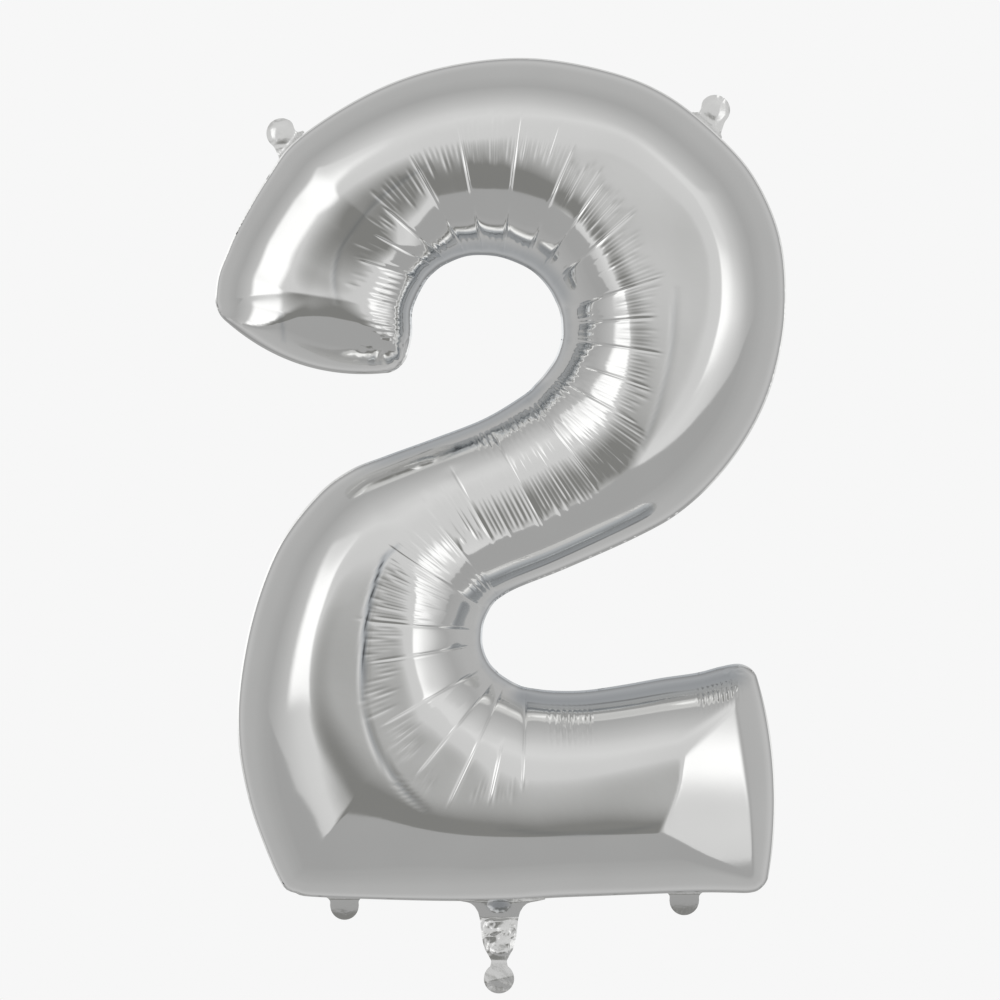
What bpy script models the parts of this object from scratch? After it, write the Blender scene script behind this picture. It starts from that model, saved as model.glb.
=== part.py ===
"""Foil number balloon in the shape of a 2, inflated, standing upright with its front facing -Y.

The real object is flat metallised film, heat-sealed along its outline, with a self-closing film
valve in its tail. Everything is in metres, +Z up. The origin is the waist of the tail, where the
ribbon is tied. The stroke of the digit is described by ribs: each rib runs across the stroke from
its outer side to its inner side, and the panels, the seam and the bulge are all worked out from
the ribs. Film is drawn thicker than it is, so that each ply is a real solid.
"""

import math

import bmesh
import bpy
from mathutils import Vector

# Driving dimensions
FILM = 0.0005  # thickness of a foil ply
VALVE_FILM = 0.0003  # thickness of a valve ply
WELD = 0.0009  # thickness of the heat-seal band between two plies
GAP = 0.0003  # clearance between neighbouring solids
FLANGE = 0.006  # width of the flat sealed rim
BAND = 0.005  # width of the heat-seal band itself
CROWN_RATIO = 0.46  # half depth of the bulge, as a share of the stroke's width
MOST_CROWN = 0.102  # half depth of the bulge where the stroke is widest
END_ROUND = 0.115  # length over which the bulge falls to the seam at the stroke's two ends
STEPS_PER_RIB = 2
ACROSS = 10  # cells across the stroke, from seam to seam

# The stroke, from the hook's end round to the base's right end: (outer x, z), (inner x, z)
RIBS = [
    ((-0.292, 0.667), (-0.098, 0.605)),
    ((-0.288, 0.702), (-0.089, 0.640)),
    ((-0.264, 0.759), (-0.087, 0.680)),
    ((-0.227, 0.820), (-0.071, 0.702)),
    ((-0.168, 0.870), (-0.051, 0.716)),
    ((-0.095, 0.905), (-0.032, 0.7225)),
    ((-0.008, 0.9245), (-0.013, 0.724)),
    ((0.077, 0.9205), (0.008, 0.719)),
    ((0.152, 0.898), (0.030, 0.709)),
    ((0.213, 0.858), (0.049, 0.692)),
    ((0.258, 0.809), (0.0595, 0.672)),
    ((0.286, 0.750), (0.064, 0.652)),
    ((0.295, 0.687), (0.0625, 0.631)),
    ((0.289, 0.626), (0.051, 0.607)),
    ((0.270, 0.567), (0.028, 0.582)),
    ((0.235, 0.510), (-0.006, 0.561)),
    ((0.190, 0.464), (-0.052, 0.541)),
    ((0.128, 0.428), (-0.103, 0.523)),
    ((0.062, 0.400), (-0.153, 0.503)),
    ((0.018, 0.382), (-0.193, 0.472)),
    ((-0.007, 0.365), (-0.223, 0.431)),
    ((-0.016, 0.344), (-0.246, 0.378)),
    ((-0.0165, 0.321), (-0.262, 0.316)),
    ((-0.008, 0.303), (-0.268, 0.251)),
    ((0.005, 0.291), (-0.2625, 0.190)),
    ((0.020, 0.283), (-0.243, 0.126)),
    ((0.035, 0.279), (-0.2235, 0.080)),
    ((0.050, 0.2775), (-0.205, 0.069)),
    ((0.065, 0.277), (-0.166, 0.0645)),
    ((0.086, 0.2775), (-0.112, 0.063)),
    ((0.110, 0.280), (-0.052, 0.062)),
    ((0.138, 0.285), (0.014, 0.0625)),
    ((0.168, 0.2905), (0.080, 0.066)),
    ((0.200, 0.295), (0.148, 0.0685)),
    ((0.228, 0.302), (0.210, 0.070)),
    ((0.247, 0.3045), (0.252, 0.070)),
    ((0.262, 0.298), (0.2735, 0.0745)),
]
HOOK_BOW = 0.026  # how far the hook's end edge bows out of its chord
BASE_BOW = 0.015  # the same at the base's right end
BOW_RIBS = 3.0  # ribs over which a bow fades out

# The tail: half widths of the neck at heights above the tie point
NECK = [
    (0.0590, 0.0290),
    (0.0555, 0.0240),
    (0.0500, 0.0205),
    (0.0420, 0.0190),
    (0.0260, 0.0177),
    (0.0110, 0.0140),
    (0.0050, 0.0105),
    (0.0016, 0.0082),
]
NECK_HINGE = 0.0608
FILL_HOLE = (0.0070, 0.0032, 0.0142)  # half width, half height, height above the tie point
TIE_DISC = (0.0155, -0.0180)  # radius and centre height of the disc under the waist
WAIST_HALF = 0.0080
TAB_THICKNESS = 0.0012  # two plies welded face to face
HINGE_CLEARANCE = 0.0015  # from a fold line to the edge that turns about it

# The valve: two clear plies, loose inside the balloon above the throat
THROAT_HALF = 0.0140
THROAT_SPAN = (0.0634, 0.0678)
INLET_HALF = 0.0120
INLET_SPAN = (0.0200, 0.0580)
SLIT_MARGIN = 0.0015
FLAP_HALF = 0.0180
FLAP_SPAN = (0.0686, 0.1900)
FLAP_CHAMFER = 0.006

# Hanging tabs: root on the seam, angle of the outward direction, disc radius, lean, reach
TABS = {
    "tab_top_left": ((-0.2147, 0.8362), 142.0, 0.0155, 0.0046, 0.0142),
    "tab_top_right": ((0.2146, 0.8582), 48.7, 0.0155, -0.0043, 0.0152),
    "tab_bottom_left": ((-0.1585, 0.0640), -90.0, 0.0145, 0.0, 0.0078),
    "tab_bottom_right": ((0.1900, 0.0692), -90.0, 0.0150, 0.0, 0.0078),
}
TAB_ARC_STEPS = 14

FLANGE_Y = WELD / 2 + GAP + FILM / 2
VALVE_Y = GAP / 2 + VALVE_FILM / 2

FOIL = ((0.76, 0.76, 0.755), 0.12, 1.0)
WELDED_FOIL = ((0.70, 0.70, 0.695), 0.25, 1.0)
CLEAR_FILM = ((0.86, 0.88, 0.88), 0.30, 0.0)


def clear_scene():
    for obj in list(bpy.data.objects):
        bpy.data.objects.remove(obj, do_unlink=True)


def material(name, look):
    colour, roughness, metallic = look
    made = bpy.data.materials.new(name)
    made.use_nodes = True
    shader = made.node_tree.nodes["Principled BSDF"]
    shader.inputs["Base Color"].default_value = (*colour, 1.0)
    shader.inputs["Roughness"].default_value = roughness
    shader.inputs["Metallic"].default_value = metallic
    return made


def add_object(name, vertices, faces, look, origin=(0.0, 0.0, 0.0), smooth=False):
    """A mesh object whose vertices are given in world space and whose origin is on its fold line."""
    base = Vector(origin)
    mesh = bpy.data.meshes.new(name)
    mesh.from_pydata([Vector(v) - base for v in vertices], [], faces)
    work = bmesh.new()
    work.from_mesh(mesh)
    bmesh.ops.recalc_face_normals(work, faces=work.faces)
    work.to_mesh(mesh)
    work.free()
    if smooth:
        mesh.shade_smooth()
        mesh.set_sharp_from_angle(angle=math.radians(40))
    obj = bpy.data.objects.new(name, mesh)
    obj.location = base
    bpy.context.scene.collection.objects.link(obj)
    mesh.materials.append(material(name, look))
    return obj


def spline(knots, t):
    """The Catmull-Rom curve through the knots; t counts knots."""
    i = min(int(t), len(knots) - 2)
    f = t - i
    p1, p2 = Vector(knots[i]), Vector(knots[i + 1])
    p0 = Vector(knots[i - 1]) if i else 2 * p1 - p2
    p3 = Vector(knots[i + 2]) if i + 2 < len(knots) else 2 * p2 - p1
    return 0.5 * (
        2 * p1
        + (p2 - p0) * f
        + (2 * p0 - 5 * p1 + 4 * p2 - p3) * f**2
        + (3 * p1 - p0 - 3 * p2 + p3) * f**3
    )


OUTER = [rib[0] for rib in RIBS]
INNER = [rib[1] for rib in RIBS]
LAST = len(RIBS) - 1


def bow_at(t):
    """How far rib t bows along the stroke: out of the hook's end at the start, the base's end last."""
    hook = HOOK_BOW * max(0.0, 1 - t / BOW_RIBS) ** 2
    base = BASE_BOW * max(0.0, 1 - (LAST - t) / BOW_RIBS) ** 2
    return base - hook


def rib_point(t, share):
    """A point of rib t in the x, z plane, at a share of the way from the outer to the inner side."""
    outer, inner = spline(OUTER, t), spline(INNER, t)
    chord = inner - outer
    along = Vector((-chord.y, chord.x)).normalized()
    return outer + chord * share + along * (bow_at(t) * 4 * share * (1 - share))


def rib_length(t):
    return (spline(INNER, t) - spline(OUTER, t)).length


def middle_travel(t, step=0.05):
    """Distance along the stroke's middle from the hook's end to rib t."""
    count = max(1, round(t / step))
    points = [rib_point(t * i / count, 0.5) for i in range(count + 1)]
    return sum((b - a).length for a, b in zip(points, points[1:]))


def rib_at_travel(travel, low, high):
    """The rib whose middle is this far along the stroke, found by halving."""
    for _ in range(24):
        middle = (low + high) / 2
        if middle_travel(middle) < travel:
            low = middle
        else:
            high = middle
    return (low + high) / 2


def rows():
    """The ribs that the mesh uses: outline, seam, regular steps, seam, outline."""
    total = middle_travel(LAST)
    first = rib_at_travel(FLANGE, 0, 1)
    last = rib_at_travel(total - FLANGE, LAST - 1, LAST)
    inside = [i / STEPS_PER_RIB for i in range(1, LAST * STEPS_PER_RIB)]
    return [0.0, first, *[t for t in inside if first + 0.2 < t < last - 0.2], last, float(LAST)]


def crown_at(t, total):
    """Half depth of the bulge over rib t."""
    crown = min(MOST_CROWN, CROWN_RATIO * (rib_length(t) - 2 * FLANGE))
    travel = middle_travel(t)
    room = max(0.0, min(travel, total - travel) - FLANGE)
    fall = max(0.0, 1 - room / END_ROUND)
    return crown * math.sqrt(1 - fall**2)


def panel_grid():
    """Rows of (x, z, height) across the stroke; the outermost points are the flat rim."""
    total = middle_travel(LAST)
    grid = []
    used = rows()
    for index, t in enumerate(used):
        rim = FLANGE / rib_length(t)
        crown = 0.0 if index in (0, len(used) - 1) else crown_at(t, total)
        row = [(*rib_point(t, 0.0), 0.0)]
        for i in range(ACROSS + 1):
            turn = math.pi * i / ACROSS
            share = rim + (1 - 2 * rim) * (1 - math.cos(turn)) / 2
            row.append((*rib_point(t, share), crown * math.sin(turn)))
        row.append((*rib_point(t, 1.0), 0.0))
        grid.append(row)
    return grid


def panel(name, grid, side):
    """One foil panel: side is -1 for the front and 1 for the back."""
    width = len(grid[0])
    vertices = [(x, side * (FLANGE_Y + rise), z) for row in grid for x, z, rise in row]
    faces = []
    for i in range(len(grid) - 1):
        for j in range(width - 1):
            a = i * width + j
            faces.append((a, a + 1, a + width + 1, a + width))
    obj = add_object(name, vertices, faces, FOIL, smooth=True)
    thicken = obj.modifiers.new("film", "SOLIDIFY")
    thicken.thickness = FILM
    thicken.offset = 0.0
    return obj


def rim_pairs(grid):
    """Points once round the outline, each with the point of the heat-seal band's inner edge."""
    pairs = []
    keep = BAND / FLANGE

    def add(outline, seam):
        outline, seam = Vector(outline[:2]), Vector(seam[:2])
        pairs.append((outline, outline.lerp(seam, keep)))

    for row in grid[1:-1]:
        add(row[0], row[1])
    add(grid[-1][0], grid[-2][1])
    for j in range(2, len(grid[0]) - 2):
        add(grid[-1][j], grid[-2][j])
    add(grid[-1][-1], grid[-2][-2])
    for row in reversed(grid[1:-1]):
        add(row[-1], row[-2])
    add(grid[0][-1], grid[1][-2])
    for j in range(len(grid[0]) - 3, 1, -1):
        add(grid[0][j], grid[1][j])
    add(grid[0][0], grid[1][1])
    return pairs


def cut_at_throat(pairs):
    """The same pairs as an open run that leaves the valve's throat free."""

    def over_throat(pair):
        return abs(pair[0].x) < THROAT_HALF + 0.004 and pair[0].y < 0.1

    count = len(pairs)
    crossing = next(
        i for i in range(count) if pairs[i][0].x > 0 >= pairs[(i + 1) % count][0].x and pairs[i][0].y < 0.1
    )
    right, left = pairs[crossing], pairs[(crossing + 1) % count]

    def at(x):
        share = (x - right[0].x) / (left[0].x - right[0].x)
        edge = right[0].lerp(left[0], share)
        return (edge, edge + Vector((0.0, BAND)))

    run = [pairs[(crossing + 1 + i) % count] for i in range(count)]
    run = [pair for pair in run if not over_throat(pair)]
    return [at(-THROAT_HALF), *run, at(THROAT_HALF)]


def strip_solid(name, pairs, half_thickness, look, origin=(0.0, 0.0, 0.0)):
    """A flat open strip between two lines of points, as a closed solid in the x, z plane."""
    vertices = []
    for outside, inside in pairs:
        for y in (-half_thickness, half_thickness):
            vertices.append((outside.x, y, outside.y))
            vertices.append((inside.x, y, inside.y))
    faces = []
    for i in range(len(pairs) - 1):
        a, b = 4 * i, 4 * (i + 1)
        faces += [
            (a, a + 1, b + 1, b),
            (a + 2, b + 2, b + 3, a + 3),
            (a, b, b + 2, a + 2),
            (a + 1, a + 3, b + 3, b + 1),
        ]
    end = 4 * (len(pairs) - 1)
    faces += [(0, 2, 3, 1), (end, end + 1, end + 3, end + 2)]
    return add_object(name, vertices, faces, look, origin)


def plate(name, outline, y_span, look, origin=(0.0, 0.0, 0.0)):
    """A flat plate: an outline in the x, z plane, filled, between two depths."""
    count = len(outline)
    vertices = [(x, y, z) for y in y_span for x, z in outline]
    faces = [tuple(range(count)), tuple(range(2 * count - 1, count - 1, -1))]
    for i in range(count):
        j = (i + 1) % count
        faces.append((i, j, count + j, count + i))
    return add_object(name, vertices, faces, look, origin)


def neck_outline():
    right = [(half, z) for z, half in NECK]
    left = [(-half, z) for z, half in reversed(NECK)]
    return right + left


def fill_hole_cutter(hinge):
    """An upright oval that goes through the neck's front ply only."""
    half_width, half_height, height = FILL_HOLE
    steps = 16
    outline = []
    for i in range(steps):
        turn = math.tau * i / steps
        outline.append((half_width * math.cos(turn), height + half_height * math.sin(turn)))
    cutter = plate("fill_hole_cutter", outline, (-0.004, -GAP), FOIL, hinge)
    cutter.hide_render = True
    cutter.display_type = "WIRE"
    return cutter


def neck_plies():
    hinge = (0.0, 0.0, NECK_HINGE)
    near, far = FLANGE_Y - FILM / 2, FLANGE_Y + FILM / 2
    front = plate("neck_front_ply", neck_outline(), (-far, -near), FOIL, hinge)
    cut = front.modifiers.new("fill_hole", "BOOLEAN")
    cut.operation = "DIFFERENCE"
    cut.object = fill_hole_cutter(hinge)
    plate("neck_back_ply", neck_outline(), (near, far), FOIL, hinge)


def neck_weld():
    """The U-shaped weld between the neck's two plies, closed just above the waist."""
    band = 0.0042
    bottom = NECK[-1][0]
    inside_bottom = bottom + 0.0050
    sides = []
    for z, half in NECK[:-2]:
        sides.append((Vector((half, z)), Vector((half - band, max(z, inside_bottom)))))
    waist_z, waist_half = NECK[-2]
    low = [
        (Vector((waist_half, waist_z)), Vector((0.0070, inside_bottom + 0.0008))),
        (Vector((NECK[-1][1], bottom)), Vector((0.0035, inside_bottom))),
    ]
    right = sides + low
    left = [(Vector((-a.x, a.y)), Vector((-b.x, b.y))) for a, b in reversed(right)]
    strip_solid("neck_weld", right + left, WELD / 2, WELDED_FOIL, (0.0, 0.0, NECK_HINGE))


def flat_tube(name, half_width, z_span, origin=(0.0, 0.0, 0.0)):
    """Two clear plies joined along both sides, open at the top and the bottom."""
    outside, inside = half_width, half_width - SLIT_MARGIN
    thick, thin = GAP / 2 + VALVE_FILM, GAP / 2
    vertices = []
    for z in z_span:
        for x, y in ((outside, thick), (inside, thin)):
            vertices += [(-x, -y, z), (x, -y, z), (x, y, z), (-x, y, z)]
    faces = []
    for i in range(4):
        j = (i + 1) % 4
        faces.append((i, j, 8 + j, 8 + i))
        faces.append((4 + i, 12 + i, 12 + j, 4 + j))
        faces.append((i, 4 + i, 4 + j, j))
        faces.append((8 + i, 8 + j, 12 + j, 12 + i))
    return add_object(name, vertices, faces, CLEAR_FILM, origin)


def valve():
    flat_tube("valve_inlet", INLET_HALF, INLET_SPAN, (0.0, 0.0, NECK_HINGE))
    flat_tube("valve_throat", THROAT_HALF - GAP, THROAT_SPAN)
    low, high = FLAP_SPAN
    corner = high - FLAP_CHAMFER
    outline = [
        (-FLAP_HALF + FLAP_CHAMFER, low),
        (FLAP_HALF - FLAP_CHAMFER, low),
        (FLAP_HALF, low + FLAP_CHAMFER),
        (FLAP_HALF, corner),
        (FLAP_HALF - FLAP_CHAMFER, high),
        (-FLAP_HALF + FLAP_CHAMFER, high),
        (-FLAP_HALF, corner),
        (-FLAP_HALF, low + FLAP_CHAMFER),
    ]
    for name, side in (("valve_front_ply", -1), ("valve_back_ply", 1)):
        span = sorted((side * GAP / 2, side * (GAP / 2 + VALVE_FILM)))
        plate(name, outline, span, CLEAR_FILM, (0.0, side * VALVE_Y, low))


def tongue_outline(radius, lean, reach, neck_half):
    """A tongue in its own plane: x along the fold line, y outwards, with a round end."""
    start = math.asin(neck_half / radius) if neck_half < radius else math.pi / 2
    sweep = 2 * math.pi - 2 * start
    first = -math.pi / 2 + start
    arc = []
    for i in range(TAB_ARC_STEPS + 1):
        turn = first + sweep * i / TAB_ARC_STEPS
        arc.append((lean + radius * math.cos(turn), reach + radius * math.sin(turn)))
    return [(-neck_half, HINGE_CLEARANCE), (neck_half, HINGE_CLEARANCE), *arc]


def hanging_tab(name, root, outward_deg, radius, lean, reach):
    outward = Vector((math.cos(math.radians(outward_deg)), math.sin(math.radians(outward_deg))))
    along = Vector((outward.y, -outward.x))
    neck_half = 0.9 * radius if reach > radius * 0.8 else 0.98 * radius
    outline = []
    for x, y in tongue_outline(radius, lean, reach, neck_half):
        spot = Vector(root) + along * x + outward * y
        outline.append((spot.x, spot.y))
    half = TAB_THICKNESS / 2
    plate(name, outline, (-half, half), WELDED_FOIL, (root[0], 0.0, root[1]))


def tie_tab():
    """The waist below the fold line and the disc under it."""
    radius, centre = TIE_DISC
    outline = [(-WAIST_HALF, -HINGE_CLEARANCE), (WAIST_HALF, -HINGE_CLEARANCE)]
    start = math.asin(WAIST_HALF / radius)
    sweep = 2 * math.pi - 2 * start
    steps = 20
    for i in range(steps + 1):
        turn = math.pi / 2 - start - sweep * i / steps
        outline.append((radius * math.cos(turn), centre + radius * math.sin(turn)))
    half = TAB_THICKNESS / 2
    plate("tie_tab", outline, (-half, half), WELDED_FOIL)


def build():
    clear_scene()
    grid = panel_grid()
    panel("front_panel", grid, -1)
    panel("back_panel", grid, 1)
    strip_solid("edge_weld", cut_at_throat(rim_pairs(grid)), WELD / 2, WELDED_FOIL)
    neck_plies()
    neck_weld()
    valve()
    tie_tab()
    for name, shape in TABS.items():
        hanging_tab(name, *shape)


build()
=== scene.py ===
"""Looks of the foil number balloon: gathered and creased foil panels, tabs, tail and studio.

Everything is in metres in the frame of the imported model: X across, Z up, the front facing -Y.
"""

import math
from bisect import bisect_left

import bpy
import numpy as np
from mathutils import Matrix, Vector, noise


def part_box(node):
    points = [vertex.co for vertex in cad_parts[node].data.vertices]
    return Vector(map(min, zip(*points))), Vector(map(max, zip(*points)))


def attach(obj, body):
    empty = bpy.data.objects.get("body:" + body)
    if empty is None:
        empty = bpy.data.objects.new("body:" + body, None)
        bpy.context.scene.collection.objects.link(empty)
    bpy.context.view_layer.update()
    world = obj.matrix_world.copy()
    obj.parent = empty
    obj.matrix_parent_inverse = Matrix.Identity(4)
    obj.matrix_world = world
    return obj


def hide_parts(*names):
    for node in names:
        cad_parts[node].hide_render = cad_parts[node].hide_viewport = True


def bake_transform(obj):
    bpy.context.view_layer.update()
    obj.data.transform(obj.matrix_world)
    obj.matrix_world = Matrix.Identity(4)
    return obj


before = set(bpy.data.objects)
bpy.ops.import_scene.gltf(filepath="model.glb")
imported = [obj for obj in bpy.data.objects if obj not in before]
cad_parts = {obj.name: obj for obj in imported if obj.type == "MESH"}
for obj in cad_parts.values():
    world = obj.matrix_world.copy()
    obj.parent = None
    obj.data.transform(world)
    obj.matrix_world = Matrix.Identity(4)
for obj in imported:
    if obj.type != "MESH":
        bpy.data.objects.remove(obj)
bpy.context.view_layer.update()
noise.seed_set(1)  # noise_vector draws its offsets from this; left unset, it follows the clock

# ---------------------------------------------------------------- the stroke
SEAM = 0.0016  # how much of the sealed rim stands clear of the inflated panels
SEAM_EDGE_Y = 0.0006  # outer face of a panel's film at its cut edge
SEAM_ROOT_Y = 0.0013  # the same where the panel starts to swell
FILM = 0.0004  # thickness of a panel at its rim
INNER_DEPTH = 0.0070  # how far inside the folds the panel's inner face runs
CROWN_RATIO = 0.46
MOST_CROWN = 0.102
COLUMNS = 112  # cells across the stroke, from seam to seam

# Ribs across the stroke, outer side then inner side, each along a gather where there is one:
# (outer x, z), (inner x, z), and where the gather starts and stops, as shares of the rib
RIBS = [
    ((-0.2920, 0.6670), (-0.0980, 0.6050), None),
    ((-0.2885, 0.7010), (-0.0895, 0.6400), None),
    ((-0.2800, 0.7240), (-0.0885, 0.6680), None),
    ((-0.2670, 0.7530), (-0.0760, 0.6950), (0.66, 0.93)),
    ((-0.2390, 0.8010), (-0.0640, 0.7080), (0.62, 0.94)),
    ((-0.2060, 0.8430), (-0.0530, 0.7150), (0.59, 0.95)),
    ((-0.1300, 0.8910), (-0.0350, 0.7220), (0.41, 0.96)),
    ((-0.0540, 0.9170), (-0.0170, 0.7235), (0.32, 0.96)),
    ((0.0300, 0.9255), (0.0030, 0.7210), (0.30, 0.96)),
    ((0.1120, 0.9120), (0.0250, 0.7125), (0.41, 0.95)),
    ((0.1730, 0.8870), (0.0390, 0.7030), (0.51, 0.93)),
    ((0.2290, 0.8420), (0.0510, 0.6890), (0.52, 0.95)),
    ((0.2650, 0.7980), (0.0580, 0.6760), None),
    ((0.2890, 0.7380), (0.0625, 0.6640), (0.56, 0.95)),
    ((0.2940, 0.6670), (0.0640, 0.6500), (0.60, 0.94)),
    ((0.2830, 0.6020), (0.0635, 0.6360), (0.55, 0.95)),
    ((0.2610, 0.5480), (0.0575, 0.6180), (0.54, 0.83)),
    ((0.2270, 0.4990), (0.0475, 0.6030), (0.50, 0.81)),
    ((0.1860, 0.4605), (0.0365, 0.5905), None),
    ((0.1410, 0.4345), (0.0250, 0.5800), (0.39, 0.94)),
    ((0.0690, 0.4025), (-0.0150, 0.5560), (0.28, 0.86)),
    ((0.0200, 0.3830), (-0.0660, 0.5360), (0.31, 0.76)),
    ((0.0010, 0.3725), (-0.1170, 0.5175), (0.46, 0.96)),
    ((-0.0060, 0.3660), (-0.1530, 0.5030), None),
    ((-0.0105, 0.3590), (-0.1870, 0.4770), (0.42, 0.96)),
    ((-0.0150, 0.3490), (-0.2250, 0.4270), None),
    ((-0.0168, 0.3390), (-0.2510, 0.3610), (0.50, 0.93)),
    ((-0.0170, 0.3260), (-0.2655, 0.2890), (0.55, 0.92)),
    ((-0.0145, 0.3150), (-0.2675, 0.2280), None),
    ((-0.0100, 0.3060), (-0.2570, 0.1670), (0.57, 0.94)),
    ((-0.0065, 0.3015), (-0.2400, 0.1170), None),
    ((-0.0040, 0.2990), (-0.2220, 0.0780), None),
    ((-0.0025, 0.2975), (-0.2080, 0.0695), None),
    ((0.0000, 0.2950), (-0.1900, 0.0658), (0.57, 0.93)),
    ((0.0080, 0.2895), (-0.1000, 0.0625), (0.45, 0.95)),
    ((0.0170, 0.2845), (-0.0350, 0.0615), (0.48, 0.71)),
    ((0.0280, 0.2805), (0.0180, 0.0625), (0.55, 0.95)),
    ((0.0550, 0.2772), (0.0600, 0.0650), None),
    ((0.0880, 0.2775), (0.0980, 0.0665), None),
    ((0.1270, 0.2830), (0.1370, 0.0680), None),
    ((0.1670, 0.2902), (0.1770, 0.0695), None),
    ((0.2030, 0.2955), (0.2140, 0.0703), None),
    ((0.2280, 0.3020), (0.2380, 0.0700), None),
    ((0.2470, 0.3045), (0.2570, 0.0700), None),
    ((0.2620, 0.2980), (0.2735, 0.0745), None),
]
HOOK_BOW = 0.026
BASE_BOW = 0.015
BOW_RIBS = 3.0
LAST = len(RIBS) - 1
# Rounded corners: rib, share of the rib, radius
CORNERS = [(0, 0, 0.014), (0, 1, 0.017), (LAST, 0, 0.007), (LAST, 1, 0.012)]
LOWER_BAY_RIBS = (22, 36)  # on these ribs the gathers run to the outer side, elsewhere to the inner side

# Fine wrinkles: (rib, rib, how many, start share, end share, depth), counted from the bay's far side
WRINKLES = [
    (2.2, 2.9, 5, 0.66, 0.80, 0.00028),
    (3.1, 3.9, 5, 0.60, 0.74, 0.00030),
    (4.1, 4.9, 6, 0.57, 0.71, 0.00032),
    (5.1, 5.95, 9, 0.48, 0.66, 0.00036),
    (6.05, 6.9, 9, 0.36, 0.56, 0.00042),
    (7.05, 7.95, 12, 0.30, 0.56, 0.00052),
    (8.05, 8.9, 11, 0.32, 0.56, 0.00050),
    (9.1, 9.9, 8, 0.46, 0.68, 0.00042),
    (10.1, 10.9, 9, 0.50, 0.72, 0.00034),
    (11.2, 12.9, 13, 0.56, 0.78, 0.00026),
    (13.1, 13.95, 9, 0.58, 0.80, 0.00020),
    (14.05, 14.95, 9, 0.58, 0.78, 0.00018),
    (15.1, 15.95, 8, 0.56, 0.79, 0.00022),
    (16.1, 16.95, 9, 0.52, 0.80, 0.00024),
    (17.1, 18.9, 18, 0.38, 0.80, 0.00030),
    (19.05, 19.95, 15, 0.30, 0.76, 0.00034),
    (20.05, 20.95, 11, 0.30, 0.72, 0.00036),
    (21.05, 21.95, 12, 0.34, 0.72, 0.00040),
    (22.05, 23.9, 15, 0.44, 0.74, 0.00042),
    (24.05, 25.95, 22, 0.47, 0.80, 0.00042),
    (26.05, 26.9, 10, 0.49, 0.66, 0.00030),
    (27.1, 28.6, 10, 0.52, 0.67, 0.00036),
    (29.3, 30.9, 9, 0.57, 0.69, 0.00038),
    (33.1, 33.5, 5, 0.50, 0.62, 0.00028),
    (34.5, 35.7, 10, 0.46, 0.60, 0.00026),
]

# Puckers: rib, rib, share, share, pitch, depth, whether on the outer side
PUCKERS = [
    (0.6, 3.4, 0.74, 0.985, 0.0056, 0.00060, False),
    (3.6, 5.8, 0.84, 0.985, 0.0056, 0.00040, False),
    (5.8, 9.4, 0.90, 0.990, 0.0060, 0.00030, False),
    (13.4, 16.4, 0.82, 0.985, 0.0056, 0.00040, False),
    (16.2, 20.6, 0.75, 0.985, 0.0058, 0.00068, False),
    (36.6, 38.3, 0.04, 0.27, 0.0054, 0.00085, True),
    (40.8, 43.0, 0.03, 0.19, 0.0052, 0.00075, True),
    (21.7, 23.4, 0.04, 0.25, 0.0056, 0.00075, True),
]
RIM_COLUMN = 16  # the column whose length counts the puckers, from the side they are on
# Ribs between which the rows lie close enough for the puckers
FINE_ROWS = [(0.6, 3.6), (16.2, 20.6), (21.8, 23.4), (36.7, 38.4), (40.8, 43.0)]

# Depths of a gather: the broad valley, the sharp crease along it, and the lip beside the crease
GATHER_VALLEY = 0.0010
GATHER_CREASE = 0.00045
GATHER_LIP = 0.00022

# Rows of the mesh, as distances along the stroke
ROW_STEP = 0.0028
FINE_STEP = 0.0011
CLOSEST_ROWS = 0.00062
BESIDE_GATHER = (0, 0.0008, -0.0008, 0.0018, -0.0018, 0.0032, -0.0032)
BESIDE_WRINKLE = (0, 0.0013, -0.0013, 0.0027, -0.0027)
BESIDE_END = (0, 0.0008, 0.0022, 0.0042)

# ---------------------------------------------------------------- curves and rows


def spline(knots, t):
    """Catmull-Rom through the knots at the parameters t, which count knots."""
    knots = np.asarray(knots, float)
    t = np.clip(np.asarray(t, float), 0, len(knots) - 1)
    i = np.minimum(t.astype(int), len(knots) - 2)
    f = (t - i)[:, None]
    full = np.vstack([2 * knots[0] - knots[1], knots, 2 * knots[-1] - knots[-2]])
    p0, p1, p2, p3 = full[i], full[i + 1], full[i + 2], full[i + 3]
    return 0.5 * (
        2 * p1
        + (p2 - p0) * f
        + (2 * p0 - 5 * p1 + 4 * p2 - p3) * f**2
        + (3 * p1 - p0 - 3 * p2 + p3) * f**3
    )


OUTER = [rib[0] for rib in RIBS]
INNER = [rib[1] for rib in RIBS]


def rib_points(t, share):
    """Points of the ribs t at the shares, as an array of (rib, share, xz)."""
    t = np.asarray(t, float)
    outer, inner = spline(OUTER, t), spline(INNER, t)
    chord = inner - outer
    along = np.stack([-chord[:, 1], chord[:, 0]], 1)
    along /= np.linalg.norm(along, axis=1)[:, None]
    hook = HOOK_BOW * np.clip(1 - t / BOW_RIBS, 0, None) ** 2
    base = BASE_BOW * np.clip(1 - (LAST - t) / BOW_RIBS, 0, None) ** 2
    share = np.atleast_2d(share)
    bow = (base - hook)[:, None] * 4 * share * (1 - share)
    return outer[:, None] + chord[:, None] * share[..., None] + along[:, None] * bow[..., None]


def corner_frames():
    """Each rounded corner's point, the two unit directions of its sides, and its radius."""
    frames = []
    for rib, side, radius in CORNERS:
        inward = 1 if rib == 0 else -1
        corner = rib_points([rib], side)[0, 0]
        along = rib_points([rib + inward * 0.4], side)[0, 0] - corner
        across = rib_points([rib], side + (0.07 if side == 0 else -0.07))[0, 0] - corner
        frames.append((corner, along / np.linalg.norm(along), across / np.linalg.norm(across), radius))
    return frames


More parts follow.
